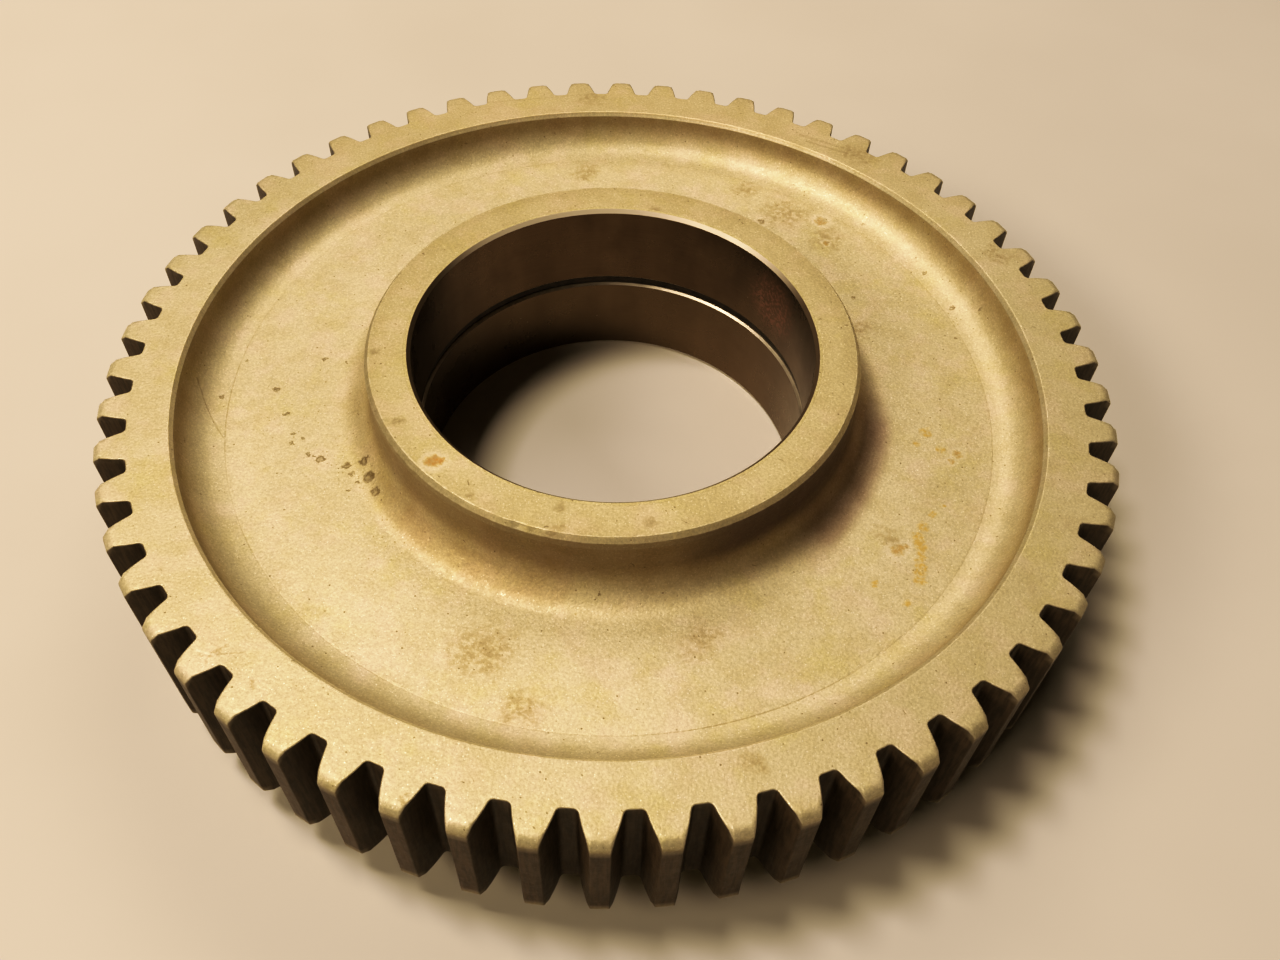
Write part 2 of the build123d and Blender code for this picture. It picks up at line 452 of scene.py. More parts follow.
# ------------------------------------------------------------------ node-tree helper
class Material:
    """A material with one short method for each kind of node it needs."""

    def __init__(self, name):
        self.data = bpy.data.materials.new(name)
        self.data.use_nodes = True
        self.tree = self.data.node_tree
        self.tree.nodes.clear()
        self.out = self.node("OutputMaterial")

    def node(self, kind, **settings):
        node = self.tree.nodes.new("ShaderNode" + kind)
        for key, value in settings.items():
            setattr(node, key, value)
        return node

    def put(self, socket, value):
        """Links a socket, or sets a plain value."""
        if hasattr(value, "is_output"):
            self.tree.links.new(value, socket)
        elif isinstance(value, tuple) and socket.type == "RGBA":
            socket.default_value = (*value, 1)
        else:
            socket.default_value = value

    def point(self):
        """Object coordinates in millimetres."""
        return self.vmath("SCALE", self.node("TexCoord").outputs["Object"], 1000.0)

    def math(self, operation, first, second=0.0, clamp=False):
        node = self.node("Math", operation=operation, use_clamp=clamp)
        self.put(node.inputs[0], first)
        self.put(node.inputs[1], second)
        return node.outputs[0]

    def mul(self, *factors):
        return reduce(lambda product, factor: self.math("MULTIPLY", product, factor), factors)

    def add(self, first, second, clamp=False):
        return self.math("ADD", first, second, clamp)

    def sub(self, first, second):
        return self.math("SUBTRACT", first, second)

    def above(self, value, limit):
        return self.math("GREATER_THAN", value, limit)

    def below(self, value, limit):
        return self.math("LESS_THAN", value, limit)

    def vmath(self, operation, first, second=(0, 0, 0)):
        """Vector maths; for SCALE the second value is the factor."""
        node = self.node("VectorMath", operation=operation)
        self.put(node.inputs[0], first)
        self.put(node.inputs[3 if operation == "SCALE" else 1], second)
        scalar = operation in ("LENGTH", "DISTANCE", "DOT_PRODUCT")
        return node.outputs["Value" if scalar else 0]

    def split(self, vector):
        node = self.node("SeparateXYZ")
        self.put(node.inputs[0], vector)
        return node.outputs

    def join(self, *parts):
        node = self.node("CombineXYZ")
        for socket, part in zip(node.inputs, parts):
            self.put(socket, part)
        return node.outputs[0]

    def noise(self, vector, scale, detail=2.0, rough=0.5, out="Fac"):
        node = self.node("TexNoise")
        self.put(node.inputs["Vector"], vector)
        node.inputs["Scale"].default_value = scale
        node.inputs["Detail"].default_value = detail
        node.inputs["Roughness"].default_value = rough
        return node.outputs[out]

    def wobble(self, vector, scale, detail, rough, reach):
        """Random offsets centred on zero."""
        noise = self.noise(vector, scale, detail, rough, out="Color")
        return self.vmath("SCALE", self.vmath("SUBTRACT", noise, (0.5, 0.5, 0.5)), reach)

    def voronoi(self, vector, scale, out="Distance", feature="F1"):
        node = self.node("TexVoronoi", feature=feature)
        self.put(node.inputs["Vector"], vector)
        node.inputs["Scale"].default_value = scale
        return node.outputs[out]

    def speckle(self, vector, scale, channel, chosen, dot):
        """Dots in some cells: chosen thins out the cells, dot is the fade from cell centres."""
        pick = self.split(self.voronoi(vector, scale, out="Color"))[channel]
        distance = self.voronoi(vector, scale)
        return self.mul(self.remap(pick, over=chosen), self.remap(distance, over=dot))

    def remap(self, value, over, to=(0.0, 1.0), smooth=True):
        kind = "SMOOTHSTEP" if smooth else "LINEAR"
        node = self.node("MapRange", interpolation_type=kind, clamp=True)
        for i, part in enumerate((value, *over, *to)):
            self.put(node.inputs[i], part)
        return node.outputs[0]

    def mix(self, factor, first, second, blend="MIX"):
        node = self.node("Mix", data_type="RGBA", blend_type=blend)
        self.put(node.inputs[0], factor)
        self.put(node.inputs[6], first)
        self.put(node.inputs[7], second)
        return node.outputs[2]

    def paint(self, colour, mask, paint):
        return self.mix(mask, colour, paint)

    def multiply(self, colour, by):
        return self.mix(1.0, colour, by, "MULTIPLY")

    def tint(self, colour, mask, by):
        """Multiplies the colour where the mask is on."""
        return self.mix(mask, colour, self.multiply(colour, by))

    def mask(self, name):
        return self.node("Attribute", attribute_name=name).outputs["Fac"]

    def bump(self, height, strength, distance, normal=None):
        node = self.node("Bump")
        node.inputs["Strength"].default_value = strength
        node.inputs["Distance"].default_value = distance
        self.put(node.inputs["Height"], height)
        if normal is not None:
            self.put(node.inputs["Normal"], normal)
        return node.outputs[0]

    def principled(self, colour, rough, metal, normal=None, specular=0.5):
        node = self.node("BsdfPrincipled")
        self.put(node.inputs["Base Color"], colour)
        self.put(node.inputs["Roughness"], rough)
        self.put(node.inputs["Metallic"], metal)
        self.put(node.inputs["Specular IOR Level"], specular)
        if normal is not None:
            self.put(node.inputs["Normal"], normal)
        return node.outputs[0]

    def finish(self, shader):
        self.put(self.out.inputs[0], shader)
        return self.data


# the steel colours are as seen under a yellow lamp; this takes the lamp out of them
LAMP_OUT = (1.0, 1.081, 1.290)

# stains on the upper side: x, y, radius (mm), strength
SPOTS = {
    "oil": [
        (-103.6, -9.2, 0.9, 0.8), (-119.5, -14.0, 0.7, 0.5), (-98.5, -19.1, 0.7, 0.5),
        (-94.8, -26.8, 0.7, 0.4), (-90.8, -28.3, 0.8, 0.5), (-93.8, -30.5, 0.7, 0.4),
        (-87.9, -34.1, 0.8, 0.5), (-86.1, -34.7, 0.6, 0.4), (-83.8, -35.5, 1.2, 0.6),
        (-76.0, -37.6, 1.3, 0.6), (-73.5, -40.3, 0.8, 0.6), (-70.6, -36.7, 1.5, 0.6),
        (-68.1, -42.2, 1.5, 0.8), (-65.3, -47.2, 1.3, 0.7), (-71.2, -43.6, 0.6, 0.4),
        (-73.3, -46.6, 0.6, 0.4), (-92.0, 5.0, 0.8, 0.6), (-84.8, 3.9, 0.6, 0.4),
        (-116.3, 1.9, 0.5, 0.4), (103.4, 63.8, 0.8, 0.5), (111.3, 47.2, 1.0, 0.9),
        (119.2, 43.0, 0.5, 0.5), (110.7, 32.8, 0.7, 0.5), (78.0, 49.5, 0.8, 0.4),
        (46.9, 86.9, 1.0, 0.8), (-4.1, -83.3, 0.5, 0.5), (2.1, -77.4, 0.5, 0.4)],
    "oilhub": [
        (-57.7, -37.6, 1.9, 0.45), (-69.6, -11.8, 1.7, 0.3), (-33.7, -62.1, 1.2, 0.5),
        (9.2, 61.6, 2.0, 0.7), (-9.6, -64.1, 2.1, 0.25), (14.3, -66.7, 2.4, 0.25)],
    "rusthub": [(-45.5, -51.1, 1.7, 0.9), (-43.2, -50.9, 1.1, 0.9)],
    "rust": [
        (105.7, -17.3, 1.5, 0.55), (103.8, -20.4, 1.2, 0.4), (84.4, -55.0, 1.7, 0.7),
        (86.3, -53.5, 1.4, 0.6), (68.7, 89.3, 2.6, 0.35), (69.9, 77.2, 1.4, 0.3)],
    "yellow": [
        (96.9, -9.8, 1.9, 0.5), (93.5, -14.4, 1.2, 0.5), (100.8, -16.2, 1.5, 0.4),
        (92.6, -46.0, 1.5, 0.7), (90.9, -49.3, 1.4, 0.7), (91.5, -53.6, 1.5, 0.65),
        (91.2, -51.4, 1.5, 0.6), (91.3, -55.6, 1.3, 0.6), (90.8, -57.8, 1.4, 0.55),
        (90.2, -62.2, 1.6, 0.6), (90.6, -60.0, 1.7, 0.6), (90.0, -64.4, 1.7, 0.6),
        (95.7, -41.4, 1.2, 0.5), (77.5, -66.7, 1.1, 0.35), (85.9, -72.5, 1.4, 0.3),
        (99.3, -37.8, 0.9, 0.3)],
    "spatter": [
        (-95.0, -24.0, 11.0, 0.7), (-84.0, -33.0, 9.0, 0.7), (-71.5, -41.5, 10.0, 0.8),
        (-60.0, -62.0, 12.0, 0.5), (112.0, 42.0, 7.0, 0.5), (88.0, -58.0, 8.0, 0.6),
        (60.0, 88.0, 9.0, 0.5)],
    "haze": [
        (-27.8, -95.8, 8.9, 0.5), (-14.0, -112.1, 5.5, 0.5), (-23.0, -92.5, 4.7, 0.4),
        (40.6, 105.5, 6.0, 0.3), (55.6, 91.5, 8.8, 0.4), (70.4, 80.0, 7.2, 0.4),
        (-18.7, 108.7, 6.0, 0.3), (-9.4, -70.8, 3.8, 0.2), (29.6, -88.3, 8.0, 0.15),
        (82.8, -51.4, 5.7, 0.2), (79.4, 33.9, 4.7, 0.25)],
    "rim": [
        (-90.7, -108.1, 2.4, 0.3), (-79.5, -116.9, 1.9, 0.25), (125.9, 61.2, 5.5, 0.3),
        (81.8, 112.5, 5.9, 0.4), (76.5, 115.0, 3.7, 0.4), (-36.9, -142.9, 1.8, 0.2),
        (43.9, -127.2, 3.8, 0.15), (-19.4, 138.7, 5.3, 0.2)],
}

# start x, y, end x, y, half width (mm), strength; a negative strength is a bright scratch
SCRATCHES = [
    (-126.8, -11.1, -122.6, -19.0, 0.30, 0.45), (-122.6, -19.0, -118.8, -24.7, 0.30, 0.45),
    (-118.8, -24.7, -114.2, -30.3, 0.26, 0.35), (-102.5, -106.2, -95.5, -108.5, 0.35, 0.35),
    (-95.5, -108.5, -90.3, -109.5, 0.45, -0.55), (-90.3, -109.5, -83.2, -108.1, 0.35, 0.35),
    (60.2, 122.6, 78.3, 115.2, 0.9, 0.30), (62.5, 119.0, 80.5, 111.5, 0.7, 0.28),
    (78.3, 115.2, 85.1, 106.8, 0.6, 0.25), (-71.2, 127.8, -45.6, 133.8, 0.6, 0.16),
    (-45.6, 133.8, -15.8, 141.7, 0.5, 0.14)]


# ------------------------------------------------------------------ peened steel
def peen_layers(mat, point):
    """Clean peened steel: colour, roughness, relief and the two noises others share."""
    big = mat.noise(point, scale=0.018, detail=3, rough=0.55)
    mid = mat.noise(point, scale=0.11, detail=4, rough=0.6)
    small = mat.noise(point, scale=0.6, detail=3, rough=0.6)
    grain = mat.noise(point, scale=1.45, detail=2, rough=0.6)
    fine = mat.noise(mat.vmath("ADD", point, (31.0, 7.0, 13.0)), scale=3.1, detail=1)
    colour = mat.mix(mat.remap(big, over=(0.35, 0.65)),
                     (0.560, 0.474, 0.284), (0.618, 0.524, 0.322))
    # patches that lean towards pink and towards olive
    pink = mat.noise(mat.vmath("ADD", point, (113.0, 41.0, 5.0)), scale=0.075, detail=3, rough=0.6)
    olive = mat.noise(mat.vmath("ADD", point, (-57.0, 173.0, 29.0)),
                      scale=0.055, detail=4, rough=0.65)
    for noise, over, most, paint in (
            (pink, (0.46, 0.66), 0.75, (0.636, 0.520, 0.342)),
            (olive, (0.50, 0.72), 0.60, (0.545, 0.462, 0.222)),
            (mid, (0.40, 0.70), 0.38, (0.482, 0.392, 0.210)),
            (small, (0.45, 0.75), 0.30, (0.690, 0.590, 0.385))):
        colour = mat.paint(colour, mat.remap(noise, over, to=(0.0, most)), paint)
    depth = 0.135           # how far the grain lightens and darkens the colour
    value = mat.mul(
        mat.remap(grain, over=(0.28, 0.72), to=(1.0 - depth, 1.0 + depth), smooth=False),
        mat.remap(fine, over=(0.25, 0.75), to=(1.0 - depth * 0.55, 1.0 + depth * 0.55),
                  smooth=False))
    colour = mat.multiply(colour, mat.join(value, value, value))

    # facets left by the shot, with painted glints, dark pores and short nicks
    spark = mat.speckle(point, scale=2.0, channel=0, chosen=(0.80, 0.96), dot=(0.46, 0.12))
    colour = mat.paint(colour, mat.mul(spark, 0.50), (1.0, 0.88, 0.62))
    pit = mat.speckle(point, scale=0.62, channel=1, chosen=(0.84, 0.98), dot=(0.21, 0.07))
    turned = mat.node("VectorRotate", rotation_type="Z_AXIS")
    mat.put(turned.inputs["Vector"], mat.vmath(
        "ADD", point, mat.wobble(point, scale=0.45, detail=2, rough=0.5, reach=3.2)))
    turned.inputs["Angle"].default_value = 0.6
    stretched = mat.vmath("MULTIPLY", turned.outputs[0], (0.26, 1.35, 1.0))
    nick = mat.speckle(stretched, scale=0.62, channel=2, chosen=(0.91, 0.97), dot=(0.19, 0.08))
    mark = mat.math("MAXIMUM", mat.mul(pit, 0.80), mat.mul(nick, 0.62))
    colour = mat.paint(colour, mark, (0.170, 0.115, 0.045))

    rough = mat.remap(small, over=(0.3, 0.7), to=(0.52, 0.62))
    rough = mat.sub(rough, mat.mul(spark, 0.20))
    dimple = mat.voronoi(point, scale=1.15, feature="SMOOTH_F1")
    relief = mat.add(mat.mul(dimple, 0.55), mat.mul(grain, 0.7))
    relief = mat.sub(relief, mat.mul(mark, 0.9))
    return colour, rough, relief, mid, small


def light_shade_tints(mat, colour, at, mid):
    """Tints placed by radius, height and direction: painted light and shade on edges, walls,
    fillets and corners, and plain tints on the hub end and rim face.
    """
    def bearing(along_x, along_y, operation="ADD"):
        """Cosine of the angle away from a direction in plan."""
        return mat.math("DIVIDE", mat.math(operation, mat.mul(at.x, along_x),
                                           mat.mul(at.y, along_y)), at.radius)

    radius, height = at.radius, at.height
    hub_end = mat.mul(mat.above(height, half_hub - 1.6), mat.below(radius, 75.0))
    rim_face = mat.mul(mat.above(height, half_face - 4.0), mat.above(radius, 129.9))
    colour = mat.tint(colour, hub_end, by=(0.905, 0.890, 0.825))
    colour = mat.tint(colour, mat.mul(hub_end, mat.remap(radius, over=(66.5, 72.3))),
                      by=(0.930, 0.920, 0.900))
    colour = mat.tint(colour, rim_face, by=(0.965, 0.960, 0.935))
    # painted highlight and shade: the broken edges of rim and hub change from light to dark across
    # x
    rim_edge = mat.mul(mat.above(height, half_face - 1.45), mat.below(radius, 130.55),
                       mat.above(radius, 129.42))
    hub_edge = mat.mul(mat.above(height, half_hub - 1.52), mat.below(height, half_hub - 0.05),
                       mat.mul(mat.below(radius, 73.85), mat.above(radius, 72.5)))
    rim_value = mat.remap(at.x, over=(30.0, 100.0), to=(1.27, 0.86))
    hub_value = mat.remap(at.x, over=(-50.0, -8.0), to=(0.86, 1.24))
    colour = mat.tint(colour, rim_edge, by=mat.join(rim_value, rim_value, rim_value))
    colour = mat.tint(colour, hub_edge, by=mat.join(hub_value, hub_value, hub_value))
    # the +Y rim is darker; painted shade makes the turned walls darker and yellower than the faces
    far_rim = mat.mul(rim_face, mat.remap(mat.mul(at.y, at.up_side), over=(55.0, 125.0)))
    colour = mat.tint(colour, far_rim, by=(0.935, 0.905, 0.865))
    level = mat.math("ABSOLUTE", mat.split(mat.node("NewGeometry").outputs["Normal"])[2])
    colour = mat.tint(colour, mat.remap(level, over=(0.66, 0.20)), by=(0.790, 0.760, 0.690))
    # painted shadow of the hub on its outer wall and fillet, heaviest towards +X -Y, with lighter
    # painted shade all round
    shadow_side = mat.mul(bearing(0.766, 0.643, "SUBTRACT"), at.up_side)
    wall = mat.mul(mat.remap(level, over=(0.72, 0.08)), mat.below(radius, 84.0),
                   mat.above(radius, 73.0),
                   mat.add(mat.remap(shadow_side, over=(0.80, 0.975), to=(0.0, 0.68)), 0.30))
    colour = mat.tint(colour, wall, by=(0.300, 0.245, 0.340))
    # painted shade on two stretches of the hub fillet: it dims the highlight towards -X -Y and is
    # the hub's shadow towards +X -Y
    lip = mat.mul(mat.remap(radius, over=(84.5, 80.5)), mat.remap(radius, over=(74.6, 76.6)),
                  mat.remap(bearing(-0.530, -0.848), over=(0.87, 0.985)),
                  mat.below(height, 18.0))
    colour = mat.tint(colour, lip, by=(0.780, 0.740, 0.680))
    shadow_pool = mat.mul(mat.remap(radius, over=(88.5, 84.0)), mat.remap(radius, over=(73.9, 74.5)),
                   mat.remap(bearing(0.927, -0.375), over=(0.89, 0.970)),
                   mat.remap(mid, over=(0.2, 0.7), to=(0.80, 1.0)),
                   mat.mul(mat.below(height, 27.0), at.up_side))
    colour = mat.tint(colour, shadow_pool, by=(0.630, 0.560, 0.610))
    # painted shade: the +Y half of the hub end is darker
    far_hub = mat.mul(hub_end, mat.remap(mat.mul(at.y, at.up_side), over=(-10.0, 60.0)))
    colour = mat.tint(colour, far_hub, by=(0.940, 0.925, 0.915))
    # painted shade, brown and patchy, in the corners where the web meets hub and rim
    hub_corner = mat.mul(mat.remap(radius, over=(87.5, 75.0)), mat.below(height, half_hub - 4.0))
    rim_corner = mat.mul(mat.remap(radius, over=(124.0, 129.2)),
                         mat.below(height, half_face - 1.5))
    corner_shade = mat.mul(mat.math("MAXIMUM", hub_corner, rim_corner), mat.below(radius, 129.6),
                   mat.remap(mid, over=(0.25, 0.75), to=(0.55, 1.0)), 0.60)
    return mat.tint(colour, corner_shade, by=(0.79, 0.69, 0.54))


def stains(mat, colour, at, small):
    """Spots and scratches on the upper side; also returns the oil and rust masks."""
    def shifted(offset, share):
        return mat.vmath("ADD", at.flat, mat.vmath("MULTIPLY", offset, (share, share, 0.0)))

    def nearest(kinds, coords):
        """Smallest distance to any spot, in units of that spot's own size."""
        least = None
        for x, y, size, strength in (spot for kind in kinds for spot in SPOTS[kind]):
            distance = mat.mul(mat.vmath("DISTANCE", coords, (x, y, 0.0)),
                               1.0 / (size * (0.55 + 0.6 * strength)))
            least = distance if least is None else mat.math("MINIMUM", least, distance)
        return least

    ragged = mat.wobble(at.point, scale=0.55, detail=3, rough=0.65, reach=3.4)
    ragged_at = shifted(ragged, 1)
    cloudy_at = shifted(mat.wobble(at.point, scale=0.12, detail=4, rough=0.7, reach=18.0), 1)
    oil_d = nearest(("oil",), ragged_at)
    oil = mat.mul(mat.remap(oil_d, over=(1.35, 0.80)),
                  mat.remap(oil_d, over=(0.15, 0.85), to=(0.50, 1.0)))
    smudge = mat.mul(mat.remap(nearest(("oilhub",), ragged_at), over=(1.6, 0.3)), 0.55)
    oil = mat.mul(mat.math("MAXIMUM", oil, smudge), at.up_side)
    rust_d = nearest(("rust", "rusthub"), ragged_at)
    rust = mat.mul(mat.remap(rust_d, over=(1.5, 0.45)), at.up_side)
    halo = mat.mul(mat.mul(mat.remap(rust_d, over=(2.6, 1.4)),
                           mat.remap(rust_d, over=(0.9, 1.5))), at.up_side)
    yellow = mat.mul(mat.remap(nearest(("yellow",), ragged_at), over=(1.6, 0.5)), at.up_side)
    haze = mat.mul(mat.remap(nearest(("haze", "rim"), cloudy_at), over=(1.7, 0.25)), at.up_side)
    speck = mat.noise(at.point, scale=0.95)
    # fine spatter round the oil spots and inside the brown patches
    spatter = mat.speckle(at.point, scale=0.8, channel=0, chosen=(0.55, 0.75), dot=(0.27, 0.12))
    near_oil = mat.mul(mat.remap(nearest(("spatter",), cloudy_at), over=(1.4, 0.5)), at.up_side)
    for mask, paint in (
            (mat.mul(haze, mat.remap(small, over=(0.35, 0.62), to=(0.10, 0.62))),
             (0.330, 0.238, 0.105)),
            (mat.mul(spatter, mat.math("MAXIMUM", haze, near_oil), 0.55), (0.215, 0.150, 0.050)),
            (mat.mul(halo, 0.35), (0.760, 0.650, 0.440)),
            (mat.mul(yellow, mat.remap(speck, over=(0.38, 0.60), to=(0.25, 0.85))),
             (0.560, 0.380, 0.090)),
            (mat.mul(rust, mat.remap(speck, over=(0.40, 0.60), to=(0.20, 0.75))),
             (0.500, 0.320, 0.095)),
            (mat.mul(rust, mat.below(at.radius, 76.0),
                     mat.remap(small, over=(0.30, 0.60), to=(0.85, 0.35))),
             (0.560, 0.295, 0.065)),
            (mat.mul(oil, mat.remap(speck, over=(0.34, 0.56), to=(0.50, 0.88))),
             (0.175, 0.120, 0.040))):
        colour = mat.paint(colour, mask, paint)

    dark, bright = (0.230, 0.160, 0.070), (0.860, 0.740, 0.490)
    for start_x, start_y, end_x, end_y, width, strength in SCRATCHES:
        run = (end_x - start_x, end_y - start_y, 0.0)
        offset = mat.vmath("SUBTRACT", shifted(ragged, 0.22), (start_x, start_y, 0.0))
        along = mat.math("MULTIPLY", mat.vmath("DOT_PRODUCT", offset, run),
                         1.0 / (run[0] ** 2 + run[1] ** 2), clamp=True)
        distance = mat.vmath("LENGTH", mat.vmath("SUBTRACT", offset,
                                                 mat.vmath("SCALE", run, along)))
        mask = mat.mul(mat.remap(distance, over=(width, width * 0.35)),
                       mat.remap(speck, over=(0.34, 0.52), to=(0.35, 1.0)),
                       at.up_side, abs(strength))
        colour = mat.paint(colour, mask, dark if strength > 0 else bright)
    return colour, oil, rust


def peened_steel():
    mat = Material("peened_steel_surface")
    point = mat.point()
    x, y, z = mat.split(point)
    flat = mat.join(x, y, 0.0)
    at = SimpleNamespace(point=point, x=x, y=y, flat=flat, radius=mat.vmath("LENGTH", flat),
                         up_side=mat.above(z, 0.0), height=mat.math("ABSOLUTE", z))
    colour, rough, relief, mid, small = peen_layers(mat, point)
    colour = light_shade_tints(mat, colour, at, mid)
    colour, oil, rust = stains(mat, colour, at, small)

    # faint turned line on the web, strongest towards -Y
    off_line = mat.math("ABSOLUTE", mat.sub(at.radius, tool_line_r))
    patchy = mat.mul(
        mat.remap(mat.noise(point, scale=0.022), over=(0.40, 0.60), to=(0.05, 0.55)),
        mat.remap(small, over=(0.35, 0.55), to=(0.4, 1.0)),
        mat.remap(mat.add(mat.mul(x, 0.45), y), over=(10.0, -95.0), to=(0.12, 1.0)))
    line = mat.mul(mat.remap(off_line, over=(0.26, 0.08)), patchy)
    colour = mat.paint(colour, line, (0.270, 0.195, 0.090))

    # tooth walls carry old oil and hobbing marks and are painted darker as shade; edges are rubbed
    # bright and painted bright as highlight
    gap = mat.mask("gap")
    oil_and_shade = mat.mul(gap, mat.remap(mid, over=(0.2, 0.8), to=(0.97, 1.0)))
    hob = mat.noise(mat.vmath("MULTIPLY", point, (0.9, 0.9, 0.10)), scale=1.2, detail=3, rough=0.6)
    dark = mat.mix(mat.remap(hob, over=(0.35, 0.65)), (0.046, 0.029, 0.016), (0.086, 0.055, 0.030))
    dark = mat.paint(dark, mat.remap(small, over=(0.55, 0.75), to=(0.0, 0.30)),
                     (0.105, 0.066, 0.032))
    colour = mat.paint(colour, oil_and_shade, dark)
    worn = mat.noise(point, scale=0.35, detail=4, rough=0.7)
    wear_glint = mat.mul(mat.mask("wear_glint"), mat.remap(worn, over=(0.40, 0.62)))
    colour = mat.paint(colour, mat.mul(wear_glint, 0.55), (0.900, 0.785, 0.530))

    for mask, smoother in ((wear_glint, 0.24), (oil_and_shade, 0.12), (oil, 0.14)):
        rough = mat.sub(rough, mat.mul(mask, smoother))
    rough = mat.add(rough, mat.mul(rust, 0.2), clamp=True)
    relief = mat.mul(relief, mat.remap(gap, over=(0.0, 1.0), to=(1.0, 0.35)))
    normal = mat.bump(relief, strength=0.55, distance=0.00013)
    normal = mat.bump(mat.noise(point, scale=0.07, detail=3), strength=0.10, distance=0.0010,
                      normal=normal)
    return mat.finish(mat.principled(
        mat.multiply(colour, LAMP_OUT), rough,
        mat.remap(oil_and_shade, over=(0.0, 1.0), to=(0.5, 0.20), smooth=False), normal,
        specular=mat.remap(oil_and_shade, over=(0.0, 1.0), to=(0.5, 0.10), smooth=False)))


# ------------------------------------------------------------------ ground bore
def ground_steel():
    mat = Material("ground_bore_surface")
    point = mat.point()
    x, y, z = mat.split(point)
    angle = mat.math("ARCTAN2", y, x)
    unroll_r = 60.0
    unrolled = mat.join(mat.mul(angle, unroll_r), z, 0.0)
    # round-the-bore grinding lines under a broad oil film; the dark base colour is partly painted
    # shade for the deep bore
    lines = mat.noise(mat.vmath("MULTIPLY", unrolled, (0.05, 6.0, 1.0)),
                      scale=1.0, detail=3, rough=0.6)
    bands = mat.noise(mat.vmath("MULTIPLY", unrolled, (0.085, 0.010, 1.0)), scale=1.0)
    cloud = mat.noise(point, scale=0.06, detail=4, rough=0.6)
    fine = mat.noise(point, scale=0.9, detail=3, rough=0.6)
    colour = mat.mix(mat.remap(bands, over=(0.30, 0.70)),
                     (0.100, 0.060, 0.031), (0.132, 0.082, 0.043))
    colour = mat.paint(colour, mat.remap(lines, over=(0.4, 0.7), to=(0.0, 0.22)),
                       (0.180, 0.120, 0.068))
    colour = mat.paint(colour, mat.remap(cloud, over=(0.48, 0.74), to=(0.0, 0.50)),
                       (0.078, 0.044, 0.023))
    colour = mat.paint(colour, mat.mul(mat.below(z, 0.0), 0.30), (0.190, 0.128, 0.066))
    # tarnished, speckled patch on the upper sleeve: 0.60 radians round, 17 mm up
    patch_x = mat.mul(mat.sub(angle, 0.60), unroll_r)
    patch_z = mat.mul(mat.sub(z, 17.0), 1.10)
    patch = mat.remap(mat.vmath("LENGTH", mat.join(patch_x, patch_z, 0.0)), over=(15.0, 5.0))
    speck = mat.remap(fine, over=(0.44, 0.60), to=(0.15, 1.0))
    colour = mat.paint(colour, mat.mul(patch, mat.mul(speck, 0.80)), (0.300, 0.130, 0.075))
    dots = mat.speckle(point, scale=0.5, channel=0, chosen=(0.93, 0.97), dot=(0.16, 0.08))
    colour = mat.paint(colour, mat.mul(dots, 0.5), (0.42, 0.30, 0.18))
    # chamfers painted light as highlight; at the bore mouths the painted highlight is bright only
    # towards +Y and dark elsewhere
    edge = mat.mask("wear_glint")
    uneven = mat.noise(point, scale=0.25, detail=3, rough=0.6)
    chamfer = mat.mul(edge, mat.remap(uneven, over=(0.25, 0.6), to=(0.80, 1.0)))
    mouth = mat.mul(edge, mat.above(mat.math("ABSOLUTE", z), 20.0))
    colour = mat.paint(colour, chamfer, (0.700, 0.590, 0.420))
    highlight_side = mat.remap(mat.math("SINE", angle), over=(0.30, 0.80))
    colour = mat.paint(colour, mouth,
                       mat.mix(highlight_side, (0.190, 0.135, 0.080), (0.760, 0.635, 0.440)))
    mouth = mat.mul(mouth, mat.remap(highlight_side, over=(0.0, 1.0), to=(0.30, 1.0)))
    rough = mat.remap(cloud, over=(0.3, 0.7), to=(0.24, 0.34))
    rough = mat.add(rough, mat.mul(patch, mat.mul(speck, 0.18)))
    rough = mat.add(rough, mat.mul(chamfer, 0.12))
    relief = mat.add(mat.mul(lines, 0.6), mat.mul(fine, 0.25))
    metal = mat.sub(mat.sub(0.92, mat.mul(mouth, 0.75)), mat.mul(patch, mat.mul(speck, 0.45)))
    # the flat end is peened like the hub
    end = mat.mask("gap")
    end_colour, end_rough, end_relief, _, _ = peen_layers(mat, point)
    colour = mat.paint(colour, end, mat.multiply(end_colour, (0.900, 0.885, 0.770)))
    rough = mat.add(mat.mul(rough, mat.sub(1.0, end)), mat.mul(end_rough, end))
    metal = mat.add(mat.mul(metal, mat.sub(1.0, end)), mat.mul(end, 0.5), clamp=True)
    normal = mat.bump(mat.mul(relief, mat.sub(1.0, end)), strength=0.18, distance=0.00004)
    normal = mat.bump(mat.mul(end_relief, end), strength=0.55, distance=0.00013, normal=normal)
    return mat.finish(mat.principled(mat.multiply(colour, LAMP_OUT), rough, metal, normal))


def oxide_steel():
    mat = Material("oxide_ring_surface")
    point = mat.point()
    cloud = mat.noise(point, scale=0.25, detail=4, rough=0.6)
    fine = mat.noise(point, scale=2.5, detail=3, rough=0.6)
    colour = mat.mix(mat.remap(cloud, over=(0.35, 0.65)),
                     (0.018, 0.012, 0.008), (0.040, 0.028, 0.018))
    colour = mat.paint(colour, mat.remap(fine, over=(0.55, 0.75), to=(0.0, 0.35)),
                       (0.085, 0.060, 0.035))
    return mat.finish(mat.principled(
        mat.multiply(colour, LAMP_OUT), rough=mat.remap(fine, over=(0.3, 0.7), to=(0.38, 0.55)),
        metal=0.7, normal=mat.bump(fine, strength=0.2, distance=0.00005)))


peened, ground, oxide = peened_steel(), ground_steel(), oxide_steel()
for obj, node, material, slot in (
        (wheel, "gear_wheel", peened, "peened_steel"),
        (upper, "upper_bore_sleeve", ground, "ground_steel"),
        (lower, "lower_bore_sleeve", ground, "ground_steel"),
        (ring, "locating_ring", oxide, "oxide_spring_steel")):
    obj.data.materials.append(material)
    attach(obj, "root")
    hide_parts(node)
    cad_materials = frame["nodes"][node].data.materials
    cad_materials.clear()
    cad_materials.append(material)

# ------------------------------------------------------------------ floor (metres from here on)
BACKDROP = (0.76, 0.66, 0.475)


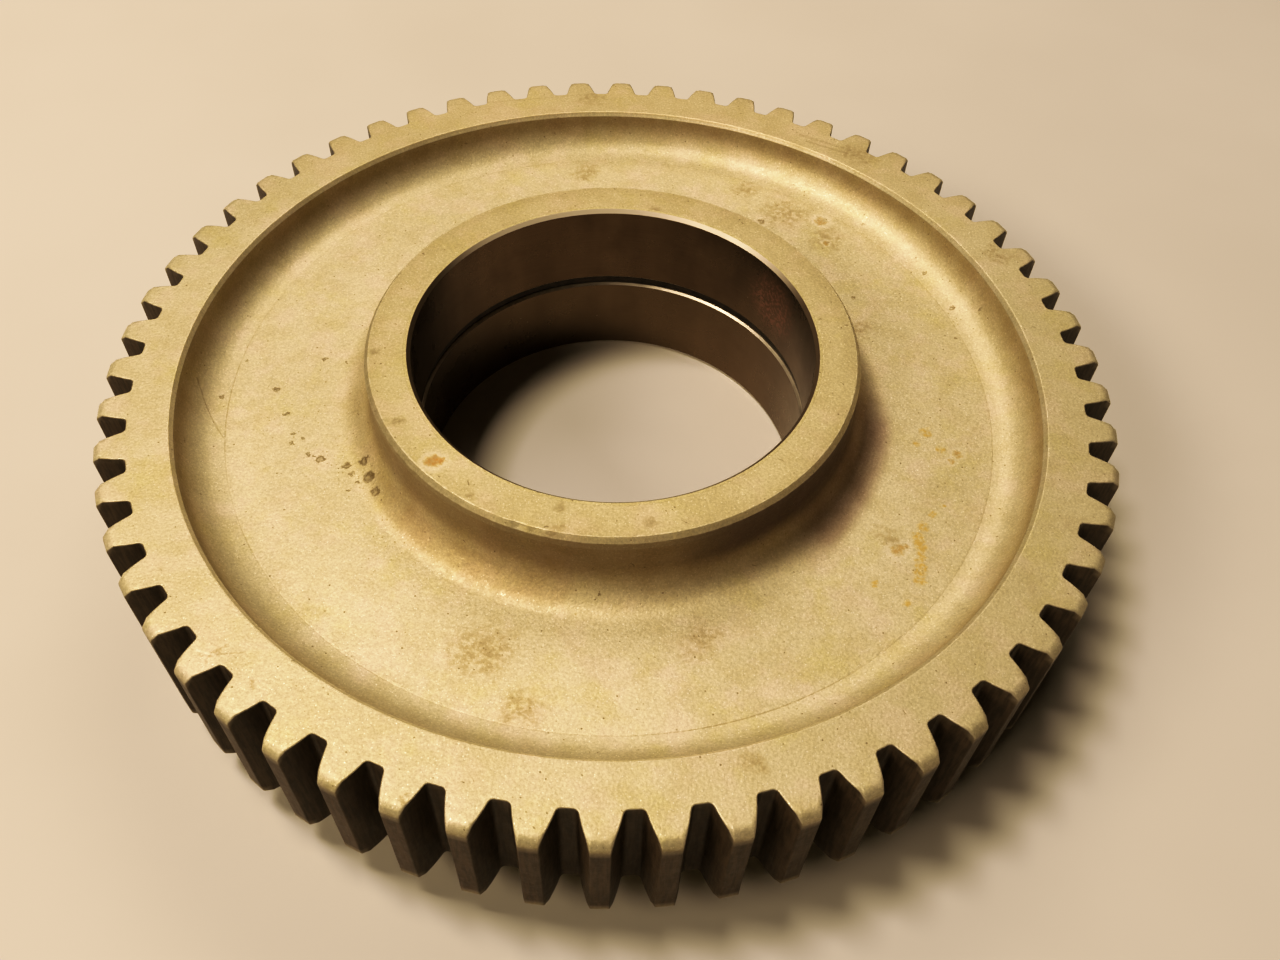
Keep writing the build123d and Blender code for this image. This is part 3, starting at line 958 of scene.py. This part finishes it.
def floor_material():
    mat = Material("floor_pale")
    place = mat.node("TexCoord").outputs["Object"]
    cloud = mat.noise(place, scale=3.0, detail=4, rough=0.6)
    colour = mat.mix(mat.remap(cloud, over=(0.3, 0.7)),
                     (0.610, 0.592, 0.552), (0.650, 0.634, 0.600))
    # the floor fades into the backdrop, so the camera sees no horizon line
    far = mat.remap(mat.vmath("LENGTH", place), over=(0.55, 1.20))
    glow = mat.node("Emission")
    mat.put(glow.inputs["Color"], BACKDROP)
    blend = mat.node("MixShader")
    fade = mat.mul(far, mat.node("LightPath").outputs["Is Camera Ray"])
    shaders = (fade, mat.principled(colour, rough=0.75, metal=0.0), glow.outputs[0])
    for socket, value in zip(blend.inputs, shaders):
        mat.put(socket, value)
    return mat.finish(blend.outputs[0])


def build_floor():
    cells, half = 24, 5.0
    z = -half_hub * MM - 0.00005
    steps = [-half + 2 * half * i / cells for i in range(cells + 1)]
    row = cells + 1
    corners = [i * row + j for i in range(cells) for j in range(cells)]
    mesh = bpy.data.meshes.new("floor")
    mesh.from_pydata([(x, y, z) for x in steps for y in steps], [],
                     [(a, a + row, a + row + 1, a + 1) for a in corners])
    floor = link_object("floor", mesh)
    mesh.materials.append(floor_material())


build_floor()

# ------------------------------------------------------------------ lights
# name, azimuth from +X and elevation (degrees), distance, width, height, watts
LIGHTS = [("key", 166, 70, 2.6, 0.62, 0.62, 57.0),
          ("back_soft", 88, 45, 2.2, 1.2, 0.8, 13.0),
          ("left_strip", 216, 39, 2.2, 1.3, 0.5, 22.5)]
for name, azimuth, elevation, distance, width, height, watts in LIGHTS:
    light = bpy.data.lights.new(name, "AREA")
    light.shape = "RECTANGLE"
    light.size, light.size_y, light.energy = width, height, watts
    light.color = (1.0, 0.86, 0.62)
    lamp = link_object(name, light)
    a, e = math.radians(azimuth), math.radians(elevation)
    place = Vector((distance * math.cos(e) * math.cos(a), distance * math.cos(e) * math.sin(a),
                    distance * math.sin(e)))
    lamp.location = place
    lamp.rotation_euler = (-place).to_track_quat("-Z", "Y").to_euler()

# the camera sees the pale backdrop; everything else is lit by a dim world
scene = bpy.context.scene
world = bpy.data.worlds.new("studio")
scene.world = world
world.use_nodes = True
nodes, links = world.node_tree.nodes, world.node_tree.links
nodes.clear()
world_out = nodes.new("ShaderNodeOutputWorld")
switch = nodes.new("ShaderNodeMixShader")
light_path = nodes.new("ShaderNodeLightPath")
links.new(light_path.outputs["Is Camera Ray"], switch.inputs[0])
for socket, colour in ((1, (0.018, 0.012, 0.0063)), (2, BACKDROP)):
    background = nodes.new("ShaderNodeBackground")
    background.inputs[0].default_value = (*colour, 1)
    links.new(background.outputs[0], switch.inputs[socket])
links.new(switch.outputs[0], world_out.inputs[0])

# ------------------------------------------------------------------ camera
# the camera's own X, Y and Z axes, then its place
CAMERA_AXES = [(0.99772555, 0.05977593, 0.03115377), (-0.06616768, 0.7802826, 0.62191712),
               (0.01286693, -0.62256398, 0.78246312), (0.01482768, -0.24409823, 0.27074814)]
lens = bpy.data.cameras.new("camera")
lens.sensor_width = 36.0
lens.sensor_fit = "HORIZONTAL"
lens.lens = 32.0365
lens.clip_start = 0.01
camera = link_object("camera", lens)
# Vector rounds to single precision before the matrix is filled
camera.matrix_world = Matrix((*zip(*(Vector(axis) for axis in CAMERA_AXES)), (0, 0, 0, 1)))
scene.camera = camera

# ------------------------------------------------------------------ tone
# highlights roll off and lose colour, shadows keep theirs: (level in, level out) for R, G, B
WHITE_LEVEL = 1.6
TONE = [
    [(0.30, 0.30), (0.60, 0.60), (0.74, 0.735), (0.82, 0.80), (0.92, 0.865), (1.05, 0.915),
     (1.25, 0.955)],
    [(0.0315, 0.0290), (0.085, 0.0745), (0.184, 0.165), (0.316, 0.294), (0.471, 0.453),
     (0.60, 0.588), (0.74, 0.709), (0.85, 0.785), (1.00, 0.860), (1.25, 0.930)],
    [(0.0154, 0.0124), (0.072, 0.0562), (0.130, 0.1013), (0.180, 0.144), (0.234, 0.197),
     (0.3035, 0.2960), (0.372, 0.397), (0.45, 0.482), (0.523, 0.555), (0.65, 0.670),
     (0.80, 0.790), (1.00, 0.890), (1.25, 0.950)]]
view = scene.view_settings
view.view_transform = "Standard"
view.gamma = 0.8
view.use_curve_mapping = True
mapping = view.curve_mapping
mapping.white_level = (WHITE_LEVEL,) * 3
for channel, levels in enumerate(TONE):
    points = mapping.curves[channel].points
    points[0].location = (0.0, 0.0)
    points[-1].location = (1.0, 1.0)
    for level_in, level_out in levels:
        points.new(level_in / WHITE_LEVEL, level_out).handle_type = "AUTO_CLAMPED"
mapping.update()

bpy.context.view_layer.update()
